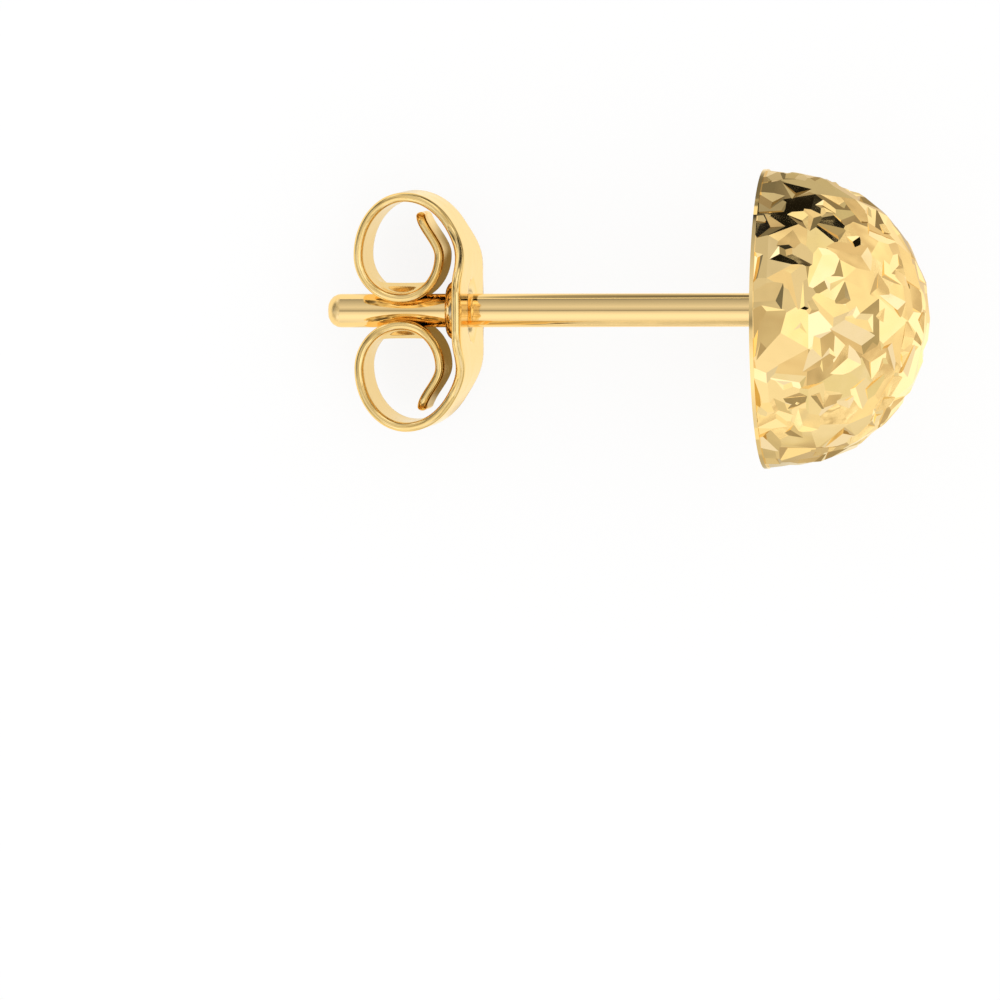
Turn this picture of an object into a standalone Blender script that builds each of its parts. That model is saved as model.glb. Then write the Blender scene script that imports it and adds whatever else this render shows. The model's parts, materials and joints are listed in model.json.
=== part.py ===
"""A gold stud earring.

Its front is a hollow half ball cut all over with facets. A post is soldered to the ball's flat back, and a
butterfly back slides on the post and grips it.
"""

import math
import random

import bmesh
import bpy
from mathutils import Matrix, Vector

# The half ball, in metres. Its flat back lies at x = 0 and its front points along +X. Between the round front
# and the back is a short straight skirt. Round the back runs a thin lip, a little proud of the facets.
BALL_DIAMETER = 0.0080
BALL_SKIRT = 0.00045
BALL_WALL = 0.00040
BACK_WALL = 0.00030
RIM_LIP = 0.00010
RIM_STEP = 0.00003
VENT_DIAMETER = 0.00070
VENT_FROM_CENTRE = 0.0022

# The facets. Each cut is made by a three-sided point that leans, so that it leaves one wide, nearly flat facet
# and two steeper ones. Pairs are the least and the most.
CUTS = 230
CUT_DEPTHS = (0.00010, 0.00019)
CUT_SLOPE_DEGREES = 21
CUT_LEAN_DEGREES = (-17.0, 17.0)
CUT_SEED = 5
CUTTER_HEIGHT = 0.0008
CUT_TURN_RADIANS = 0.25
CUT_RISE_SHARE = 0.02

# The post. It is soldered a little above the middle of the ball's back.
POST_DIAMETER = 0.00090
POST_LENGTH = 0.01175
POST_TIP_RADIUS = 0.00035
POST_ABOVE_CENTRE = 0.00024

# The butterfly back, one strip of sheet: a wide plate, and a tongue rolled into a scroll on each side of it.
SHEET = 0.00025
BACK_ON_POST = 0.0080
SLIDING_FIT = 0.00003
PLATE_WIDTH = 0.0050
PLATE_FLAT = 0.0011
COLLAR_HEIGHT = 0.00042
COLLAR_TOP_DIAMETER = 0.00116
COLLAR_BASE_DIAMETER = 0.00184
SHOULDER = 0.00055
NECK_WIDTH = 0.0030
TIP_WIDTH = 0.00175
SCROLL_HEIGHT = 0.00307
SCROLL_REACH = 0.0028
SCROLL_GAP = 0.00045
CHANNEL_START = 0.0006
CHANNEL_FADE = 0.0020
CHANNEL_SOFTNESS = 0.00006

# Where a tongue's sheet runs straight up, down or across. Behind the plate is a share of SCROLL_REACH, and
# off the post is a share of SCROLL_HEIGHT. The stretch beside the post lies half of SCROLL_GAP off its axis.
SCROLL_TURN_SHARES = {
    "top": {"behind": 0.546, "off_post": 1.0},
    "back": {"behind": 1.0, "off_post": 0.49},
    "beside the post": {"behind": 0.596},
    "inside": {"behind": 0.232, "off_post": 0.482},
    "tip": {"behind": 0.418, "off_post": 0.865},
}

# How finely round shapes are divided.
BALL_SUBDIVISIONS = 3
RIM_SIDES = 96
HOLLOW_SEGMENTS = 24
POST_SIDES = 32
POST_TIP_STEPS = 5
SCROLL_STEPS = 9
TIP_STEPS = 4
TIP_BLUNT_SHARE = 0.03
ROWS_ACROSS = 14
ROW_CROWDING_POWER = 1.3
PLATE_SIDE_STEPS = 8
COLLAR_RINGS = 5
PLATE_RINGS = 2
SHARP_EDGE_DEGREES = 40

BALL_RADIUS = BALL_DIAMETER / 2
FACETED_RADIUS = BALL_RADIUS - RIM_STEP
RIM_FLAT_TURN = math.pi / RIM_SIDES
POST_RADIUS = POST_DIAMETER / 2
HOLE_RADIUS = POST_RADIUS + SLIDING_FIT
MERGE = 0.000001


def new_collection(name):
    collection = bpy.data.collections.new(name)
    bpy.context.scene.collection.children.link(collection)
    return collection


def new_object(name, bm, collection):
    mesh = bpy.data.meshes.new(name)
    bm.to_mesh(mesh)
    bm.free()
    obj = bpy.data.objects.new(name, mesh)
    collection.objects.link(obj)
    return obj


def new_cutter(name, bm):
    obj = new_object(name, bm, cutters)
    obj.display_type = "WIRE"
    obj.hide_render = True
    return obj


def gold(name, colour, roughness):
    material = bpy.data.materials.new(name)
    material.use_nodes = True
    shader = material.node_tree.nodes["Principled BSDF"]
    shader.inputs["Base Color"].default_value = (*colour, 1.0)
    shader.inputs["Metallic"].default_value = 1.0
    shader.inputs["Roughness"].default_value = roughness
    return material


def boolean(obj, operation, other):
    modifier = obj.modifiers.new(other.name, "BOOLEAN")
    modifier.operation = operation
    modifier.solver = "EXACT"
    modifier.object = other


def apply_booleans(obj):
    """Gives the object its cut mesh, and takes away the cutters that made it."""
    bpy.context.view_layer.update()
    graph = bpy.context.evaluated_depsgraph_get()
    obj.data = bpy.data.meshes.new_from_object(obj.evaluated_get(graph))
    obj.data.name = obj.name
    obj.modifiers.clear()
    for cutter in list(cutters.objects):
        bpy.data.objects.remove(cutter)


def half_ball(bm, radius, from_x):
    """Makes the unit sphere in bm a half ball with its skirt, closed by a flat face at from_x."""
    along_x = Matrix.Rotation(math.pi / 2, 4, "Y")
    in_place = Matrix.Translation((BALL_SKIRT, 0.0, 0.0))
    bmesh.ops.transform(bm, verts=bm.verts, matrix=in_place @ Matrix.Scale(radius, 4) @ along_x)
    everything = bm.verts[:] + bm.edges[:] + bm.faces[:]
    cut = {"plane_co": (BALL_SKIRT, 0.0, 0.0), "plane_no": (-1.0, 0.0, 0.0), "clear_outer": True}
    bmesh.ops.bisect_plane(bm, geom=everything, dist=MERGE, **cut)
    outline = [edge for edge in bm.edges if edge.is_boundary]
    drawn = bmesh.ops.extrude_edge_only(bm, edges=outline)["geom"]
    skirt_end = [item for item in drawn if isinstance(item, bmesh.types.BMVert)]
    bmesh.ops.translate(bm, verts=skirt_end, vec=(from_x - BALL_SKIRT, 0.0, 0.0))
    bmesh.ops.holes_fill(bm, edges=[edge for edge in bm.edges if edge.is_boundary])
    bmesh.ops.recalc_face_normals(bm, faces=bm.faces)


def turned_mesh(profile, sides):
    """A solid turned round the X axis from points (along X, radius), the first and the last on the axis."""
    bm = bmesh.new()
    points = [bm.verts.new((along, radius, 0.0)) for along, radius in profile]
    outline = [bm.edges.new(pair) for pair in zip(points, points[1:])]
    turn = {"cent": (0.0, 0.0, 0.0), "axis": (1.0, 0.0, 0.0), "angle": 2 * math.pi}
    bmesh.ops.spin(bm, geom=points + outline, steps=sides, **turn)
    bmesh.ops.remove_doubles(bm, verts=bm.verts, dist=MERGE)
    bmesh.ops.recalc_face_normals(bm, faces=bm.faces)
    return bm


def point_mesh(place):
    """A three-sided point, its tip at the local origin and its flat end above it."""
    bm = bmesh.new()
    middle_of_side = CUTTER_HEIGHT / math.tan(math.radians(CUT_SLOPE_DEGREES))
    corner = middle_of_side / math.cos(math.pi / 3)
    upright = place @ Matrix.Translation((0.0, 0.0, CUTTER_HEIGHT / 2))
    point = {"cap_ends": True, "segments": 3, "radius1": 0.0, "radius2": corner, "depth": CUTTER_HEIGHT}
    bmesh.ops.create_cone(bm, matrix=upright, **point)
    bmesh.ops.recalc_face_normals(bm, faces=bm.faces)
    return bm


def facet_cutters():
    """Points set round the ball on a spiral, each turned its own way, in the order that they are cut."""
    chance = random.Random(CUT_SEED)
    order = list(range(CUTS))
    chance.shuffle(order)
    golden_angle = math.pi * (3 - math.sqrt(5))
    for number in order:
        share = (number + 0.5) / CUTS + chance.uniform(-CUT_RISE_SHARE, CUT_RISE_SHARE)
        forward = 1 - max(share, 0.0) * (FACETED_RADIUS + BALL_SKIRT) / FACETED_RADIUS
        around = number * golden_angle + chance.uniform(-CUT_TURN_RADIANS, CUT_TURN_RADIANS)
        sideways = math.sqrt(1 - max(forward, 0.0) ** 2)
        normal = Vector((max(forward, 0.0), sideways * math.cos(around), sideways * math.sin(around)))
        surface = FACETED_RADIUS * Vector((forward, normal.y, normal.z)) + Vector((BALL_SKIRT, 0.0, 0.0))
        run = Matrix.Rotation(chance.uniform(0.0, 2 * math.pi), 3, normal) @ normal.orthogonal().normalized()
        axes = Matrix((run, normal.cross(run), normal)).transposed().to_4x4()
        bottom = surface - normal * chance.uniform(*CUT_DEPTHS)
        lean = Matrix.Rotation(math.radians(chance.uniform(*CUT_LEAN_DEGREES)), 4, "Y")
        turn = Matrix.Rotation(chance.uniform(0.0, 2 * math.pi), 4, "Z")
        place = Matrix.Translation(bottom) @ axes @ turn @ lean
        yield new_cutter(f"facet_cut_{number}", point_mesh(place))


def post_mesh():
    """A plain round wire, sunk into the ball's back and rounded at its tip."""
    tip = -POST_LENGTH
    flat_end = POST_RADIUS - POST_TIP_RADIUS
    corner = [math.pi / 2 * step / POST_TIP_STEPS for step in range(POST_TIP_STEPS + 1)]
    profile = [(tip, 0.0)]
    profile += [
        (tip + POST_TIP_RADIUS * (1 - math.cos(angle)), flat_end + POST_TIP_RADIUS * math.sin(angle))
        for angle in corner
    ]
    profile += [(BACK_WALL / 2, POST_RADIUS), (BACK_WALL / 2, 0.0)]
    return turned_mesh(profile, POST_SIDES)


def half_ball_and_post():
    """The ball's shell with its flat back, and the post, soldered into one piece round the post's axis."""
    ball_centre = Vector((0.0, -POST_ABOVE_CENTRE, 0.0))
    outside = bmesh.new()
    bmesh.ops.create_icosphere(outside, subdivisions=BALL_SUBDIVISIONS, radius=1.0)
    half_ball(outside, FACETED_RADIUS, RIM_LIP / 2)
    stud = new_object("half_ball_and_post", outside, pieces)
    stud.location = ball_centre
    for cutter in facet_cutters():
        cutter.location = ball_centre
        boolean(stud, "DIFFERENCE", cutter)
    lip = [(0.0, 0.0), (0.0, BALL_RADIUS), (RIM_LIP, BALL_RADIUS), (RIM_LIP, 0.0)]
    rim = new_cutter("rim", turned_mesh(lip, RIM_SIDES))
    rim.location = ball_centre
    rim.rotation_euler = (RIM_FLAT_TURN, 0.0, 0.0)
    boolean(stud, "UNION", rim)
    inside = bmesh.new()
    bmesh.ops.create_uvsphere(inside, u_segments=HOLLOW_SEGMENTS, v_segments=HOLLOW_SEGMENTS // 2, radius=1.0)
    half_ball(inside, BALL_RADIUS - BALL_WALL, BACK_WALL)
    hollow = new_cutter("hollow", inside)
    hollow.location = ball_centre
    boolean(stud, "DIFFERENCE", hollow)
    boolean(stud, "UNION", new_cutter("post", post_mesh()))
    hole = [(-BACK_WALL, 0.0), (-BACK_WALL, VENT_DIAMETER / 2), (2 * BACK_WALL, VENT_DIAMETER / 2)]
    hole.append((2 * BACK_WALL, 0.0))
    vent = new_cutter("vent", turned_mesh(hole, POST_SIDES // 2))
    vent.location = ball_centre + Vector((0.0, -VENT_FROM_CENTRE, 0.0))
    boolean(stud, "DIFFERENCE", vent)
    apply_booleans(stud)
    stud.data.materials.append(gold("diamond_cut_gold", (0.93, 0.68, 0.30), 0.08))
    return stud


def smoothstep(share):
    share = min(1.0, max(0.0, share))
    return share * share * (3 - 2 * share)


def tongue_path():
    """Points (x, y) along one tongue in the plane of the scroll, from the plate's flat to the tip."""
    turns = SCROLL_TURN_SHARES.items()
    across = {name: -BACK_ON_POST - turn["behind"] * SCROLL_REACH for name, turn in turns}
    beside_post = (SCROLL_GAP + SHEET) / 2 / SCROLL_HEIGHT
    up = {name: turn.get("off_post", beside_post) * SCROLL_HEIGHT for name, turn in turns}
    start = Vector((-BACK_ON_POST, PLATE_FLAT))
    corners = [start] + [Vector((across[name], up[name])) for name in SCROLL_TURN_SHARES]
    points = []
    for quarter in range(4):
        begin, end = corners[quarter], corners[quarter + 1]
        upright = quarter % 2 == 0
        for step in range(SCROLL_STEPS):
            angle = math.pi / 2 * step / SCROLL_STEPS
            slow, fast = 1 - math.cos(angle), math.sin(angle)
            shares = Vector((slow, fast)) if upright else Vector((fast, slow))
            points.append(begin + (end - begin) * shares)
    begin, end = corners[4], corners[5]
    for step in range(SCROLL_STEPS + 1):
        rise = step / SCROLL_STEPS
        points.append(begin + (end - begin) * Vector((smoothstep(rise), rise)))
    return points


def tongue_stations():
    """Rows (length run, point, inward normal) along the path, closer together on the rounded tip."""
    points = tongue_path()
    lengths = [0.0]
    for near, far in zip(points, points[1:]):
        lengths.append(lengths[-1] + (far - near).length)
    total = lengths[-1]
    round_start = total - TIP_WIDTH / 2
    runs = [run for run in lengths if run < round_start - MERGE]
    runs += [total - TIP_WIDTH / 2 * math.cos(math.pi / 2 * step / TIP_STEPS) for step in range(TIP_STEPS)]
    runs.append(total - TIP_BLUNT_SHARE * TIP_WIDTH)
    stations = []
    for run in runs:
        place = next(index for index in range(1, len(lengths)) if lengths[index] >= run - MERGE)
        share = (run - lengths[place - 1]) / (lengths[place] - lengths[place - 1])
        before = points[max(place - 2, 0)]
        after = points[min(place + 1, len(points) - 1)]
        heading = (after - before).normalized() if run > 0 else Vector((0.0, 1.0))
        point = points[place - 1].lerp(points[place], share)
        stations.append((run, point, Vector((-heading.y, heading.x))))
    return stations, total


def tongue_half_width(run, total):
    shoulder = 1 - smoothstep(run / SHOULDER)
    taper = NECK_WIDTH + (TIP_WIDTH - NECK_WIDTH) * run / total
    half = (taper + (PLATE_WIDTH - taper) * shoulder) / 2
    to_tip = (total - run) / (TIP_WIDTH / 2)
    return half * math.sqrt(1 - (1 - to_tip) ** 2) if to_tip < 1 else half


def channel(across):
    """How far the sheet is pressed away from the post, across the tongue."""
    seat = HOLE_RADIUS + SHEET / 2
    flank = (SCROLL_GAP + SHEET) / 2
    over_post = math.sqrt(max(seat**2 - across**2, 0.0)) - flank
    return (over_post + math.sqrt(over_post**2 + CHANNEL_SOFTNESS**2)) / 2


def row_shares():
    """Places across the strip from -1 to 1, closer together over the post."""
    even = [2 * row / ROWS_ACROSS - 1 for row in range(ROWS_ACROSS + 1)]
    return [math.copysign(abs(share) ** ROW_CROWDING_POWER, share) for share in even]


def pressed_grid(bm, columns, rows, press):
    """A grid of faces whose corner in each column and row is placed by press(column, row)."""
    corners = [[bm.verts.new(press(column, row)) for row in range(rows)] for column in range(columns)]
    for left, right in zip(corners, corners[1:]):
        for row in range(rows - 1):
            bm.faces.new((left[row], right[row], right[row + 1], left[row + 1]))


def press_tongue(bm, side):
    """One tongue, rolled up on the side of the post that side (1 or -1) gives."""
    stations, total = tongue_stations()
    shares = row_shares()

    def press(column, row):
        run, point, inward = stations[column]
        across = tongue_half_width(run, total) * shares[row]
        fade = smoothstep((run - CHANNEL_START) / CHANNEL_FADE) * smoothstep((total - run) / TIP_WIDTH)
        pressed = point + inward * channel(across) * fade
        return (pressed.x, side * pressed.y, across)

    pressed_grid(bm, len(stations), len(shares), press)


def press_plate(bm):
    """The plate between the tongues, with the collar that guides the post pressed out of its back."""
    half = PLATE_WIDTH / 2
    seam = [(PLATE_FLAT, half * share) for share in row_shares()]
    side = [(PLATE_FLAT * (1 - 2 * step / PLATE_SIDE_STEPS), half) for step in range(1, PLATE_SIDE_STEPS)]
    upper_half = seam + side
    outline = upper_half + [(-up, -across) for up, across in upper_half]
    outline.append(outline[0])
    collar_top, collar_base = COLLAR_TOP_DIAMETER / 2, COLLAR_BASE_DIAMETER / 2

    def press(column, row):
        up, across = outline[column]
        edge = math.hypot(up, across)
        if row <= COLLAR_RINGS:
            radius = HOLE_RADIUS + (collar_base - HOLE_RADIUS) * row / COLLAR_RINGS
        else:
            radius = collar_base + (edge - collar_base) * (row - COLLAR_RINGS) / PLATE_RINGS
        raised = COLLAR_HEIGHT * smoothstep((collar_base - radius) / (collar_base - collar_top))
        return (-BACK_ON_POST - raised, radius * up / edge, radius * across / edge)

    pressed_grid(bm, len(outline), COLLAR_RINGS + PLATE_RINGS + 1, press)


def butterfly_back():
    """The plate and both tongues as one bent sheet, thickened evenly to both sides."""
    bm = bmesh.new()
    press_plate(bm)
    press_tongue(bm, 1)
    press_tongue(bm, -1)
    bmesh.ops.remove_doubles(bm, verts=bm.verts, dist=MERGE)
    bmesh.ops.recalc_face_normals(bm, faces=bm.faces)
    back = new_object("butterfly_back", bm, pieces)
    thicken = back.modifiers.new("sheet", "SOLIDIFY")
    thicken.thickness = SHEET
    thicken.offset = 0.0
    thicken.use_even_offset = True
    back.data.materials.append(gold("polished_gold", (0.90, 0.66, 0.33), 0.15))
    back.data.shade_smooth()
    back.data.set_sharp_from_angle(angle=math.radians(SHARP_EDGE_DEGREES))
    return back


def lay_down(objects):
    """Lies the earring on its rim and on the plate's lower edge, with its box centred over the origin."""
    rim_low = BALL_RADIUS * math.cos(RIM_FLAT_TURN)
    lean = math.atan2(rim_low - PLATE_WIDTH / 2, BACK_ON_POST + SHEET / 2)
    rest = bpy.data.objects.new("rest", None)
    pieces.objects.link(rest)
    rest.rotation_euler = (0.0, -lean, 0.0)
    for obj in objects:
        obj.parent = rest
    bpy.context.view_layer.update()
    graph = bpy.context.evaluated_depsgraph_get()
    corners = []
    for obj in objects:
        evaluated = obj.evaluated_get(graph)
        corners += [evaluated.matrix_world @ vertex.co for vertex in evaluated.data.vertices]
    across_x, across_y, across_z = ([corner[axis] for corner in corners] for axis in range(3))
    middle = [(min(places) + max(places)) / 2 for places in (across_x, across_y)]
    rest.location = (-middle[0], -middle[1], -min(across_z))
    bpy.context.view_layer.update()


for old in list(bpy.data.objects):
    bpy.data.objects.remove(old)
pieces = new_collection("stud_earring")
cutters = new_collection("cutters")
lay_down([half_ball_and_post(), butterfly_back()])
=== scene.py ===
import json
import math
import random

import bmesh
import bpy
from mathutils import Matrix, Vector


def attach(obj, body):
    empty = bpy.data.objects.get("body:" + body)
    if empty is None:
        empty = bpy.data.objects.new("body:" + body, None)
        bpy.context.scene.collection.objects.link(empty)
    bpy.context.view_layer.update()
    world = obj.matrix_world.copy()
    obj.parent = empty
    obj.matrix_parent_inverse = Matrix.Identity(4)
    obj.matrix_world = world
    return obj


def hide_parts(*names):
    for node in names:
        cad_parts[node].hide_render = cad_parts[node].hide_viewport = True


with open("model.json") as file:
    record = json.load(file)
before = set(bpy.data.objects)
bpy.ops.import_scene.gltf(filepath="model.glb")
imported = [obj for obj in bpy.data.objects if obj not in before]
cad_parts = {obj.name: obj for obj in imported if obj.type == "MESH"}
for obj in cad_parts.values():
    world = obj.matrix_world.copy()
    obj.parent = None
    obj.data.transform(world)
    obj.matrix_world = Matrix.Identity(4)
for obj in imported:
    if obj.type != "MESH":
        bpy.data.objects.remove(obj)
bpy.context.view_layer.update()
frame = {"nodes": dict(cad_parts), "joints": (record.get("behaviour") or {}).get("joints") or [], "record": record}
scene = bpy.context.scene

# The earring lies by itself, on the rim of its ball and on the long edge of its butterfly's plate, so the
# post slopes down towards its tip. The camera looks down on it with a long lens, turned a little round
# towards the ball's front and towards the far scroll, as a jeweller's photograph shows it.
CAMERA_DISTANCE = 0.35
CAMERA_SEES_FROM = 0.01
VIEW_WIDTH = 0.02667
TURNED_TO_FRONT = math.radians(7.3)
TURNED_TO_FAR_SCROLL = math.radians(3.0)
RIM_RIGHT_OF_MIDDLE = 0.00707
RIM_ABOVE_MIDDLE = 0.00483

towards_tip = Vector(frame["joints"][0]["axis"]).normalized()
towards_front = -towards_tip
across = Vector((0.0, 1.0, 0.0))
square_up = towards_front.cross(across)
flat_back = Vector(frame["record"]["mounts"][0]["pos_m"])
rim_middle = Vector((flat_back.x, 0.0, flat_back.z))
to_camera = towards_front * math.sin(TURNED_TO_FRONT) * math.cos(TURNED_TO_FAR_SCROLL)
to_camera += across * math.sin(TURNED_TO_FAR_SCROLL)
to_camera += square_up * math.cos(TURNED_TO_FRONT) * math.cos(TURNED_TO_FAR_SCROLL)
view_right = (towards_front - to_camera * towards_front.dot(to_camera)).normalized()
view_up = to_camera.cross(view_right)
view_middle = rim_middle - view_right * RIM_RIGHT_OF_MIDDLE - view_up * RIM_ABOVE_MIDDLE
camera = bpy.data.objects.new("camera", bpy.data.cameras.new("camera"))
scene.collection.objects.link(camera)
turned = Matrix((view_right, view_up, to_camera)).transposed().to_4x4()
camera.matrix_world = Matrix.Translation(view_middle + to_camera * CAMERA_DISTANCE) @ turned
camera.data.lens = camera.data.sensor_width * CAMERA_DISTANCE / VIEW_WIDTH
camera.data.clip_start = CAMERA_SEES_FROM
scene.camera = camera
scene.view_settings.view_transform = "Standard"


# The table is white card, evenly lit where the camera sees it. The gold mirrors instead a painted
# reflection of it that glows, with painted shade: in patches from the ball forwards, most on the far side,
# a little on the near side and under the post's tip, and in warm brown under the butterfly's tongues.
TABLE_SIZE = 0.6
CARD_COLOUR = (0.92, 0.92, 0.92)
CARD_ROUGHNESS = 0.7
TABLE_GLOW = 0.86
# Painted patches of light and shade in the mirrored card from the ball forwards, one even shade behind it.
CARD_SHADE_SCALE = 110.0
CARD_SHADES = (
    (0.36, (0.56, 0.50, 0.41)), (0.44, (0.78, 0.69, 0.58)), (0.50, (0.97, 0.91, 0.80)),
    (0.56, (1.15, 1.13, 0.98)), (0.64, (1.30, 1.34, 1.40)),
)
CARD_BRIGHTEST = 1.4
# Painted shadows in the mirrored card, each a soft ellipse darkened to its tint at its core.
CARD_SHADOWS = (
    {"middle": (0.006, 0.018, 0.0), "reach": (0.012, 0.014, 1.0), "tint": (0.50, 0.50, 0.50)},
    {"middle": (0.010, 0.036, 0.0), "reach": (0.011, 0.020, 1.0), "tint": (0.03, 0.03, 0.03)},
    {"middle": (0.000, 0.013, 0.0), "reach": (0.006, 0.011, 1.0), "tint": (0.38, 0.38, 0.38)},
    {"middle": (0.000, -0.0075, 0.0), "reach": (0.006, 0.005, 1.0), "tint": (0.75, 0.75, 0.75)},
    {"middle": (0.005, -0.016, 0.0), "reach": (0.013, 0.013, 1.0), "tint": (0.70, 0.70, 0.70)},
    {"middle": (-0.0045, 0.000, 0.0), "reach": (0.00092, 0.0030, 1.0), "tint": (0.23, 0.17, 0.08)},
    {"middle": (-0.0062, 0.000, 0.0), "reach": (0.0012, 0.006, 1.0), "tint": (0.85, 0.85, 0.85)},
)
SHADOW_CORE = 0.75
CARD_EVEN_TO = 0.003
CARD_UNEVEN_FROM = 0.007
CARD_EVEN_SHADE = 0.53


def shader_nodes(owner):
    """The node tree of a material or world, with a call that adds a node to it and one that adds a link."""
    owner.use_nodes = True
    tree = owner.node_tree

    def add(kind, **settings):
        node = tree.nodes.new(kind)
        for name, value in settings.items():
            setattr(node, name, value)
        return node

    return tree, add, tree.links.new


def tone_ramp(add, stops, brightest):
    """A colour ramp with a stop for each (place, colour), its colours divided by the brightest tone."""
    ramp = add("ShaderNodeValToRGB")
    while len(ramp.color_ramp.elements) < len(stops):
        ramp.color_ramp.elements.new(0.5)
    for element, (place, _) in zip(ramp.color_ramp.elements, stops):
        element.position = place
    for element, (_, colour) in zip(ramp.color_ramp.elements, stops):
        element.color = (*(share / brightest for share in colour), 1.0)
    return ramp


def changing(add, link, socket, start, end, low, high):
    """A smooth change from low to high as the socket goes from start to end."""
    change = add("ShaderNodeMapRange", interpolation_type="SMOOTHSTEP")
    for field, value in zip(change.inputs[1:5], (start, end, low, high)):
        field.default_value = value
    link(socket, change.inputs["Value"])
    return change.outputs["Result"]


bm = bmesh.new()
bmesh.ops.create_grid(bm, x_segments=1, y_segments=1, size=TABLE_SIZE / 2)
table = bpy.data.objects.new("table", bpy.data.meshes.new("table"))
bm.to_mesh(table.data)
bm.free()
scene.collection.objects.link(table)
card = bpy.data.materials.new("white_card_with_painted_reflection")
tree, add, link = shader_nodes(card)
matt = tree.nodes["Principled BSDF"]
matt.inputs["Base Color"].default_value = (*CARD_COLOUR, 1.0)
matt.inputs["Roughness"].default_value = CARD_ROUGHNESS
glow = add("ShaderNodeEmission")
lit = add("ShaderNodeMixShader")
lit.inputs["Fac"].default_value = TABLE_GLOW
link(matt.outputs["BSDF"], lit.inputs[1])
link(glow.outputs["Emission"], lit.inputs[2])
place = add("ShaderNodeNewGeometry")
uneven = add("ShaderNodeTexNoise")
uneven.inputs["Scale"].default_value = CARD_SHADE_SCALE
uneven.inputs["Detail"].default_value = 1.0
link(place.outputs["Position"], uneven.inputs["Vector"])
split = add("ShaderNodeSeparateXYZ")
link(place.outputs["Position"], split.inputs["Vector"])
shade = add("ShaderNodeMix", data_type="FLOAT")
shade.inputs["A"].default_value = CARD_EVEN_SHADE
ahead = changing(add, link, split.outputs["X"], CARD_EVEN_TO, CARD_UNEVEN_FROM, 0.0, 1.0)
link(ahead, shade.inputs["Factor"])
link(uneven.outputs["Fac"], shade.inputs["B"])
shades = tone_ramp(add, CARD_SHADES, CARD_BRIGHTEST)
link(shade.outputs["Result"], shades.inputs["Fac"])
shaded = shades.outputs["Color"]
# Each painted shadow darkens the painted reflection inside its ellipse.
for shadow in CARD_SHADOWS:
    offset = add("ShaderNodeVectorMath", operation="SUBTRACT")
    offset.inputs[1].default_value = shadow["middle"]
    link(place.outputs["Position"], offset.inputs[0])
    share = add("ShaderNodeVectorMath", operation="DIVIDE")
    share.inputs[1].default_value = shadow["reach"]
    link(offset.outputs["Vector"], share.inputs[0])
    away = add("ShaderNodeVectorMath", operation="LENGTH")
    link(share.outputs["Vector"], away.inputs[0])
    dimmed = add("ShaderNodeMix", data_type="RGBA", blend_type="MULTIPLY")
    dimmed.inputs["B"].default_value = (*shadow["tint"], 1.0)
    depth = changing(add, link, away.outputs["Value"], SHADOW_CORE, 1.0, 1.0, 0.0)
    link(depth, dimmed.inputs["Factor"])
    link(shaded, dimmed.inputs["A"])
    shaded = dimmed.outputs["Result"]
# The painted reflection glows, and only mirror rays see it; the camera sees the evenly lit card.
painted_reflection = add("ShaderNodeEmission")
painted_reflection.inputs["Strength"].default_value = CARD_BRIGHTEST
link(shaded, painted_reflection.inputs["Color"])
ray = add("ShaderNodeLightPath")
chosen = add("ShaderNodeMixShader")
link(ray.outputs["Is Glossy Ray"], chosen.inputs["Fac"])
link(lit.outputs["Shader"], chosen.inputs[1])
link(painted_reflection.outputs["Emission"], chosen.inputs[2])
link(chosen.outputs["Shader"], tree.nodes["Material Output"].inputs["Surface"])
table.data.materials.append(card)


# The studio is a white tent. Two soft boxes meet in a narrow gap over the earring, the near one brighter.
# Away from the post's own mirrored strip the tent is lit unevenly, in warm and cool patches. It is darker
# behind the earring, and on its far side it opens on the dark room, which the steep facets mirror as black.
TENT_TONES = (
    (-1.00, 1.06), (-0.87, 1.10), (-0.70, 1.17), (-0.50, 1.15), (-0.27, 0.95),
    (-0.12, 0.80), (-0.04, 0.40), (0.02, 0.36), (0.08, 0.55), (0.20, 0.68),
    (0.43, 0.87), (0.64, 0.74), (0.82, 0.62), (0.95, 0.50), (1.00, 0.38),
)
TENT_BRIGHTEST = 1.75
PLAIN_LIGHT = 1.15
EVEN_AROUND_X = -0.20
EVEN_WITHIN = 0.09
UNEVEN_BEYOND = 0.26
PATCH_SCALE = 2.8
PATCHES = (
    (0.35, (0.47, 0.44, 0.37)), (0.39, (0.62, 0.56, 0.47)), (0.43, (0.84, 0.75, 0.64)),
    (0.47, (1.00, 0.97, 0.88)), (0.52, (1.18, 1.22, 1.06)), (0.57, (1.27, 1.32, 1.40)),
    (0.63, (1.32, 1.40, 1.75)),
)
SHADES = (
    {"towards": (0.40, 0.88, -0.25), "radius": 34, "soft": 8, "tone": 0.55},
    {"towards": (0.22, 0.97, -0.04), "radius": 20, "soft": 1.5, "tone": 0.02},
    {"towards": (0.55, -0.83, 0.10), "radius": 42, "soft": 14, "tone": 0.72},
    {"towards": (-0.98, 0.10, 0.15), "radius": 48, "soft": 18, "tone": 0.62},
    {"towards": (-0.93, 0.36, 0.00), "radius": 28, "soft": 7, "tone": 0.25},
)

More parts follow.
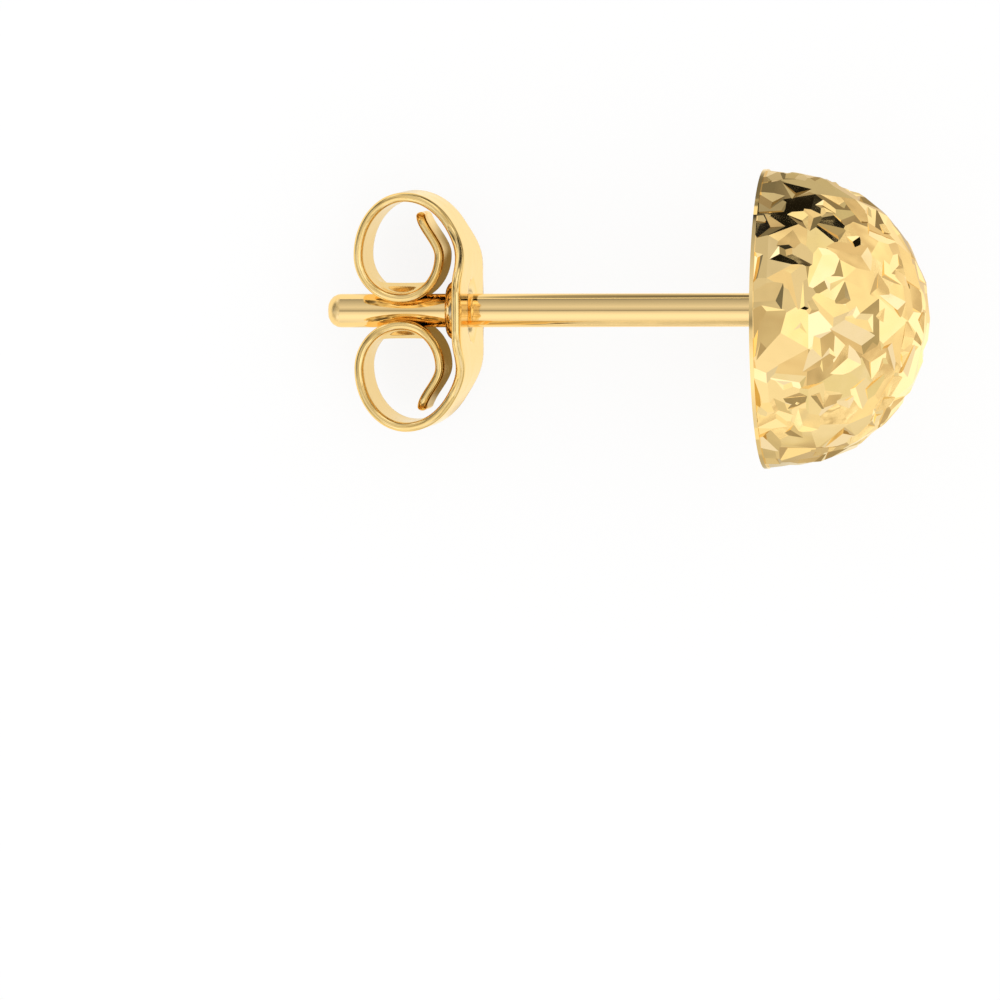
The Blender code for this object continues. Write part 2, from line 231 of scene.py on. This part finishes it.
world = bpy.data.worlds.new("studio")
scene.world = world
tree, add, link = shader_nodes(world)
tent = tree.nodes["Background"]
direction = add("ShaderNodeTexCoord")
split = add("ShaderNodeSeparateXYZ")
link(direction.outputs["Generated"], split.inputs["Vector"])
along = add("ShaderNodeMapRange")
along.inputs["From Min"].default_value = -1.0
link(split.outputs["Y"], along.inputs["Value"])
tones = tone_ramp(add, [((far + 1) / 2, (tone,) * 3) for far, tone in TENT_TONES], TENT_BRIGHTEST)
link(along.outputs["Result"], tones.inputs["Fac"])
uneven = add("ShaderNodeTexNoise")
uneven.inputs["Scale"].default_value = PATCH_SCALE
uneven.inputs["Detail"].default_value = 1.0
link(direction.outputs["Generated"], uneven.inputs["Vector"])
patches = tone_ramp(add, PATCHES, TENT_BRIGHTEST)
link(uneven.outputs["Fac"], patches.inputs["Fac"])
off_strip = add("ShaderNodeMath", operation="SUBTRACT")
off_strip.inputs[1].default_value = EVEN_AROUND_X
link(split.outputs["X"], off_strip.inputs[0])
either_way = add("ShaderNodeMath", operation="ABSOLUTE")
link(off_strip.outputs["Value"], either_way.inputs[0])
patchy = changing(add, link, either_way.outputs["Value"], EVEN_WITHIN, UNEVEN_BEYOND, 0.0, 1.0)
sides = add("ShaderNodeMix", data_type="RGBA")
link(patchy, sides.inputs["Factor"])
link(tones.outputs["Color"], sides.inputs["A"])
link(patches.outputs["Color"], sides.inputs["B"])
light = sides.outputs["Result"]
for shade in SHADES:
    aim = add("ShaderNodeVectorMath", operation="DOT_PRODUCT")
    aim.inputs[1].default_value = Vector(shade["towards"]).normalized()
    link(direction.outputs["Generated"], aim.inputs[0])
    outer, inner = (math.cos(math.radians(shade["radius"] + way * shade["soft"])) for way in (1, -1))
    dimmed = add("ShaderNodeMix", data_type="RGBA", blend_type="MULTIPLY")
    dimmed.inputs["B"].default_value = (*(shade["tone"],) * 3, 1.0)
    depth = changing(add, link, aim.outputs["Value"], outer, inner, 0.0, 1.0)
    link(depth, dimmed.inputs["Factor"])
    link(light, dimmed.inputs["A"])
    light = dimmed.outputs["Result"]
link(light, tent.inputs["Color"])
tent.inputs["Strength"].default_value = TENT_BRIGHTEST
plain = add("ShaderNodeBackground")
plain.inputs["Color"].default_value = (1.0, 1.0, 1.0, 1.0)
plain.inputs["Strength"].default_value = PLAIN_LIGHT
ray = add("ShaderNodeLightPath")
chosen = add("ShaderNodeMixShader")
link(ray.outputs["Is Glossy Ray"], chosen.inputs["Fac"])
link(plain.outputs["Background"], chosen.inputs[1])
link(tent.outputs["Background"], chosen.inputs[2])
link(chosen.outputs["Shader"], tree.nodes["World Output"].inputs["Surface"])


# The half ball is pressed from sheet gold, closed with a flat back and soldered to a straight wire post. A
# turning diamond tool has cut it all over, so each facet is a small mirror, and some keep the tool's fine
# lines. The post's tip is filed round.
CUT_GOLD = {"colour": (0.98, 0.715, 0.315), "edge_tint": (1.0, 0.97, 0.88), "roughness": (0.035, 0.10)}
WIRE_GOLD = {"colour": (0.97, 0.70, 0.32), "edge_tint": (1.0, 0.96, 0.88), "roughness": (0.05, 0.10)}
FILED_GOLD = {"colour": (0.97, 0.70, 0.32), "edge_tint": (1.0, 0.96, 0.88), "roughness": (0.28, 0.36)}
CUT_DENTS = {"per_metre": 1200, "depth": 0.000008}
WIRE_DENTS = {"per_metre": 300, "depth": 0.000004}
SMUDGES_PER_DENT = 2
SMUDGE_FROM = 0.35
SMUDGE_TO = 0.65
CORNERS_MEET_WITHIN = 0.0000005
FACET_JOIN_DEGREES = 0.5
ROUND_UNDER_DEGREES = 35
FACETS_FROM = 0.00011
POST_TIP_RADIUS = 0.00035
FACET_SEED = 12
TOOL_LINE_SPACING = 0.00007
TOOL_LINE_DEPTH = 0.0000002
TOOL_LINES_FROM = 0.65


def gold(name, finish, dented):
    """Polished gold whose roughness wanders between two values and whose surface has soft shallow dents."""
    material = bpy.data.materials.new(name)
    tree, add, link = shader_nodes(material)
    shader = tree.nodes["Principled BSDF"]
    shader.inputs["Base Color"].default_value = (*finish["colour"], 1.0)
    shader.inputs["Metallic"].default_value = 1.0
    shader.inputs["Specular Tint"].default_value = (*finish["edge_tint"], 1.0)
    place = add("ShaderNodeTexCoord")
    smudges = add("ShaderNodeTexNoise")
    smudges.inputs["Scale"].default_value = dented["per_metre"] * SMUDGES_PER_DENT
    link(place.outputs["Object"], smudges.inputs["Vector"])
    worn = changing(add, link, smudges.outputs["Fac"], SMUDGE_FROM, SMUDGE_TO, *finish["roughness"])
    link(worn, shader.inputs["Roughness"])
    soft = add("ShaderNodeTexNoise")
    soft.inputs["Scale"].default_value = dented["per_metre"]
    soft.inputs["Detail"].default_value = 1.0
    link(place.outputs["Object"], soft.inputs["Vector"])
    dents = add("ShaderNodeBump")
    dents.inputs["Distance"].default_value = dented["depth"]
    link(soft.outputs["Fac"], dents.inputs["Height"])
    link(dents.outputs["Normal"], shader.inputs["Normal"])
    return material, add, link, place, shader, dents


stud_name = "faceted_half_ball_on_post"
stud = bpy.data.objects.new(stud_name, bpy.data.meshes.new(stud_name))
scene.collection.objects.link(stud)
bm = bmesh.new()
bm.from_mesh(frame["nodes"]["half_ball_and_post"].data)
bmesh.ops.remove_doubles(bm, verts=bm.verts, dist=CORNERS_MEET_WITHIN)
flat_within = math.radians(FACET_JOIN_DEGREES)
bmesh.ops.dissolve_limit(bm, angle_limit=flat_within, verts=bm.verts, edges=bm.edges)
bm.to_mesh(stud.data)
bm.free()
stud.data.shade_smooth()
stud.data.set_sharp_from_angle(angle=math.radians(ROUND_UNDER_DEGREES))
post_tip = min((corner.co - flat_back).dot(towards_front) for corner in stud.data.vertices)
chance = random.Random(FACET_SEED)
tool_line = stud.data.attributes.new("tool_line", "FLOAT_VECTOR", "FACE")
tool_share = stud.data.attributes.new("tool_share", "FLOAT", "FACE")
for face in stud.data.polygons:
    run = face.normal.orthogonal()
    run.rotate(Matrix.Rotation(chance.uniform(0.0, math.pi), 3, face.normal))
    share = chance.random()
    ahead = (face.center - flat_back).dot(towards_front)
    if ahead > FACETS_FROM:
        face.use_smooth = False
        tool_line.data[face.index].vector = run.normalized()
        tool_share.data[face.index].value = share
    elif ahead < 0:
        face.material_index = 2 if ahead < post_tip + POST_TIP_RADIUS else 1
cut_gold, add, link, place, shader, dents = gold("diamond_cut_gold", CUT_GOLD, CUT_DENTS)
lines = add("ShaderNodeAttribute", attribute_name="tool_line")
along = add("ShaderNodeVectorMath", operation="DOT_PRODUCT")
link(place.outputs["Object"], along.inputs[0])
link(lines.outputs["Vector"], along.inputs[1])
wave = add("ShaderNodeMath", operation="MULTIPLY")
wave.inputs[1].default_value = 2 * math.pi / TOOL_LINE_SPACING
link(along.outputs["Value"], wave.inputs[0])
ridge = add("ShaderNodeMath", operation="SINE")
link(wave.outputs["Value"], ridge.inputs[0])
kept = add("ShaderNodeAttribute", attribute_name="tool_share")
lined = add("ShaderNodeMath", operation="MULTIPLY")
link(ridge.outputs["Value"], lined.inputs[0])
depth = changing(add, link, kept.outputs["Fac"], TOOL_LINES_FROM, 1.0, 0.0, 1.0)
link(depth, lined.inputs[1])
scored = add("ShaderNodeBump")
scored.inputs["Distance"].default_value = TOOL_LINE_DEPTH
link(lined.outputs["Value"], scored.inputs["Height"])
link(dents.outputs["Normal"], scored.inputs["Normal"])
link(scored.outputs["Normal"], shader.inputs["Normal"])
stud.data.materials.append(cut_gold)
stud.data.materials.append(gold("drawn_wire_gold", WIRE_GOLD, WIRE_DENTS)[0])
stud.data.materials.append(gold("filed_tip_gold", FILED_GOLD, WIRE_DENTS)[0])
even_shading = stud.modifiers.new("even shading", "WEIGHTED_NORMAL")
even_shading.keep_sharp = True
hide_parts("half_ball_and_post")
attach(stud, "stud")


# The butterfly back is one strip of sheet gold. Its plate is stamped with a collar that guides the post,
# and its two tongues are rolled into scrolls, pressed hollow where they grip the post. Tumbling has
# rounded its edges.
SHEET_GOLD = {"colour": (0.98, 0.77, 0.44), "edge_tint": (1.0, 0.86, 0.58), "roughness": (0.07, 0.16)}
EDGE_GOLD = {"colour": (0.93, 0.67, 0.28), "edge_tint": (1.0, 0.86, 0.58), "roughness": (0.09, 0.20)}
SHEET_DENTS = {"per_metre": 900, "depth": 0.000010}
EDGE_DENTS = {"per_metre": 2600, "depth": 0.000008}
SHEET = 0.00025
BACK_ON_POST = 0.0080
HOLE_RADIUS = 0.00048
POST_ABOVE_CENTRE = 0.00024
PLATE_WIDTH = 0.0050
PLATE_FLAT = 0.0011
COLLAR_HEIGHT = 0.00042
COLLAR_TOP_RADIUS = 0.00058
COLLAR_BASE_RADIUS = 0.00092
SHOULDER_FROM = 0.0005
SHOULDER_TO = 0.0024
NECK_WIDTH = 0.0030
TIP_WIDTH = 0.00175
TIP_ROUNDING = 0.00035
SCROLL_HEIGHT = 0.00307
SCROLL_REACH = 0.0028
SCROLL_GAP = 0.00045
PRESSED_SOFTNESS = 0.00012
BULGE = 0.00006
BULGE_FROM = 0.0007
BULGE_TO = 0.0024
SCROLL_STEPS = 22
TIP_STEPS = 8
ROWS_ACROSS = 24
EDGE_STEPS = 5
ROW_CROWDING_POWER = 1.3
COLLAR_RINGS = 12
PLATE_RINGS = 6
PLATE_SIDE_STEPS = 20
THINNEST_SHARE = 0.04
EDGE_UNDER_SHARE = 0.9
SEAMS_MEET_WITHIN = 0.000001
SHEET_ROUND_UNDER_DEGREES = 60

post_beside = (SCROLL_GAP + SHEET) / 2
SCROLL_TURNS = (
    (0.0, PLATE_FLAT), (0.546 * SCROLL_REACH, SCROLL_HEIGHT), (SCROLL_REACH, 0.49 * SCROLL_HEIGHT),
    (0.596 * SCROLL_REACH, post_beside), (0.232 * SCROLL_REACH, 0.482 * SCROLL_HEIGHT),
    (0.418 * SCROLL_REACH, 0.865 * SCROLL_HEIGHT),
)


def smooth(share):
    """A share from 0 to 1 with a soft start and end."""
    share = min(1.0, max(0.0, share))
    return share * share * (3 - 2 * share)


def half_width(from_middle, total):
    """Half the strip's width, by the length along it from the middle of the plate."""
    taper = NECK_WIDTH + (TIP_WIDTH - NECK_WIDTH) * from_middle / total
    shoulder = smooth((from_middle - SHOULDER_FROM) / (SHOULDER_TO - SHOULDER_FROM))
    half = (PLATE_WIDTH + (taper - PLATE_WIDTH) * shoulder) / 2
    past_corner = max(1 - (total - from_middle) / TIP_ROUNDING, 0.0)
    return half - TIP_ROUNDING * (1 - math.sqrt(1 - past_corner**2))


def bulge(from_middle):
    """How far the strip is bowed towards the ball on either side of the post."""
    share = min(max((from_middle - BULGE_FROM) / (BULGE_TO - BULGE_FROM), 0.0), 1.0)
    return BULGE * math.sin(math.pi * share) ** 2


def scroll_points():
    """Points along one tongue in the plane of the scroll, as quarter turns and a last soft bend."""
    points = []
    corners = [Vector(turn) for turn in SCROLL_TURNS]
    for quarter in range(4):
        begin, end = corners[quarter], corners[quarter + 1]
        for step in range(SCROLL_STEPS):
            angle = math.pi / 2 * step / SCROLL_STEPS
            shares = Vector((1 - math.cos(angle), math.sin(angle)))
            points.append(begin + (end - begin) * (shares if quarter % 2 == 0 else shares.yx))
    for step in range(SCROLL_STEPS + 1):
        rise = step / SCROLL_STEPS
        points.append(corners[4] + (corners[5] - corners[4]) * Vector((smooth(rise), rise)))
    return points


def round_edge(to_edge):
    """The sheet's thickness as a share of its full one, by the distance to its round edge."""
    past_round = 1 - min(max(to_edge, 0.0) / (SHEET / 2), 1.0)
    return max(math.sqrt(1 - past_round**2), THINNEST_SHARE)


def pressed_sheet(bm, columns, rows, press):
    """A grid of faces. press(column, row) gives a corner's place and its distance to the sheet's edge."""
    thickness = bm.verts.layers.deform.verify()
    corners = []
    for column in range(columns):
        corners.append([])
        for row in range(rows):
            place, to_edge = press(column, row)
            corner = bm.verts.new(place)
            corner[thickness][0] = round_edge(to_edge)
            corners[-1].append(corner)
    for left, right in zip(corners, corners[1:]):
        for row in range(rows - 1):
            face = bm.faces.new((left[row], right[row], right[row + 1], left[row + 1]))
            thinnest = min(corner[thickness][0] for corner in face.verts)
            face.material_index = int(thinnest < EDGE_UNDER_SHARE)


even = [2 * row / ROWS_ACROSS - 1 for row in range(ROWS_ACROSS + 1)]
rows_across = [(math.copysign(abs(share) ** ROW_CROWDING_POWER, share), 0.0) for share in even]
round_off = [math.sin(math.pi / 2 * step / EDGE_STEPS) for step in range(1, EDGE_STEPS + 1)]
rows_across = [(-1.0, -share) for share in reversed(round_off)] + rows_across
rows_across += [(1.0, share) for share in round_off]


def places_across(half):
    """Places across a strip of that half width: even over its flat, and crowded on its round edges."""
    return [flat * (half - SHEET / 2) + rounded * SHEET / 2 for flat, rounded in rows_across]


path = scroll_points()
runs = [PLATE_FLAT]
for near, far in zip(path, path[1:]):
    runs.append(runs[-1] + (far - near).length)
strip_half = runs[-1]
stations = [(run, point) for run, point in zip(runs, path) if run < strip_half - TIP_ROUNDING]
tip_runs = [strip_half - TIP_ROUNDING * (1 - step / TIP_STEPS) for step in range(TIP_STEPS)]
tip_runs += [strip_half - SHEET / 2 * (1 - rounded) for rounded in round_off]
for run in sorted(tip_runs):
    after = next(index for index in range(1, len(runs)) if runs[index] >= run)
    share = (run - runs[after - 1]) / (runs[after] - runs[after - 1])
    stations.append((run, path[after - 1].lerp(path[after], share)))

bm = bmesh.new()
for side in (1, -1):

    def roll(column, row):
        """A corner of one tongue, pressed hollow against the post, and how far it is from the edge."""
        run, point = stations[column]
        half = half_width(run, strip_half)
        across = places_across(half)[row]
        seat = math.sqrt(max((HOLE_RADIUS + SHEET / 2) ** 2 - across**2, 0.0)) - point.y
        pressed = (seat + math.sqrt(seat**2 + PRESSED_SOFTNESS**2)) / 2
        pressed *= 1 - smooth((point.y - PLATE_FLAT) / PLATE_FLAT)
        up = point.y + (pressed if column else 0.0)
        to_edge = min(half - abs(across), strip_half - run)
        return (-BACK_ON_POST - point.x + bulge(run), side * up, across), to_edge

    pressed_sheet(bm, len(stations), len(rows_across), roll)

seam = [(PLATE_FLAT, across) for across in places_across(half_width(PLATE_FLAT, strip_half))]
ups = [PLATE_FLAT * (1 - 2 * step / PLATE_SIDE_STEPS) for step in range(1, PLATE_SIDE_STEPS)]
outline = seam + [(up, half_width(abs(up), strip_half)) for up in ups]
outline += [(-up, -across) for up, across in outline]
outline.append(outline[0])


def stamp(column, row):
    """A corner of the plate, on a line from its hole to its edge, and how far it is from the side."""
    up, across = outline[column]
    edge = math.hypot(up, across)
    flat_from, flat_to = COLLAR_BASE_RADIUS, edge - SHEET / 2
    if row <= COLLAR_RINGS:
        radius = HOLE_RADIUS + (COLLAR_BASE_RADIUS - HOLE_RADIUS) * row / COLLAR_RINGS
    elif row <= COLLAR_RINGS + PLATE_RINGS:
        radius = flat_from + (flat_to - flat_from) * (row - COLLAR_RINGS) / PLATE_RINGS
    else:
        radius = flat_to + round_off[row - COLLAR_RINGS - PLATE_RINGS - 1] * SHEET / 2
    up_collar = (COLLAR_BASE_RADIUS - radius) / (COLLAR_BASE_RADIUS - COLLAR_TOP_RADIUS)
    raised = COLLAR_HEIGHT * smooth(up_collar)
    up, across = radius * up / edge, radius * across / edge
    to_side = half_width(abs(up), strip_half) - abs(across)
    return (-BACK_ON_POST - raised + bulge(abs(up)), up, across), to_side


pressed_sheet(bm, len(outline), COLLAR_RINGS + PLATE_RINGS + EDGE_STEPS + 1, stamp)
bmesh.ops.remove_doubles(bm, verts=bm.verts, dist=SEAMS_MEET_WITHIN)
bmesh.ops.recalc_face_normals(bm, faces=bm.faces)
back_name = "butterfly_back_with_scrolls"
back = bpy.data.objects.new(back_name, bpy.data.meshes.new(back_name))
scene.collection.objects.link(back)
on_post = flat_back + across * (POST_ABOVE_CENTRE - flat_back.y)
lying = Matrix((towards_front, across, square_up)).transposed().to_4x4()
bm.transform(Matrix.Translation(on_post) @ lying)
bm.to_mesh(back.data)
bm.free()
back.vertex_groups.new(name="sheet thickness")
thicken = back.modifiers.new("sheet", "SOLIDIFY")
thicken.thickness = SHEET
thicken.offset = 0.0
thicken.vertex_group = "sheet thickness"
graph = bpy.context.evaluated_depsgraph_get()
back.data = bpy.data.meshes.new_from_object(back.evaluated_get(graph))
back.modifiers.clear()
back.data.shade_smooth()
back.data.set_sharp_from_angle(angle=math.radians(SHEET_ROUND_UNDER_DEGREES))
back.data.materials.append(gold("polished_sheet_gold", SHEET_GOLD, SHEET_DENTS)[0])
back.data.materials.append(gold("tumbled_edge_gold", EDGE_GOLD, EDGE_DENTS)[0])
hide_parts("butterfly_back")
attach(back, "back")
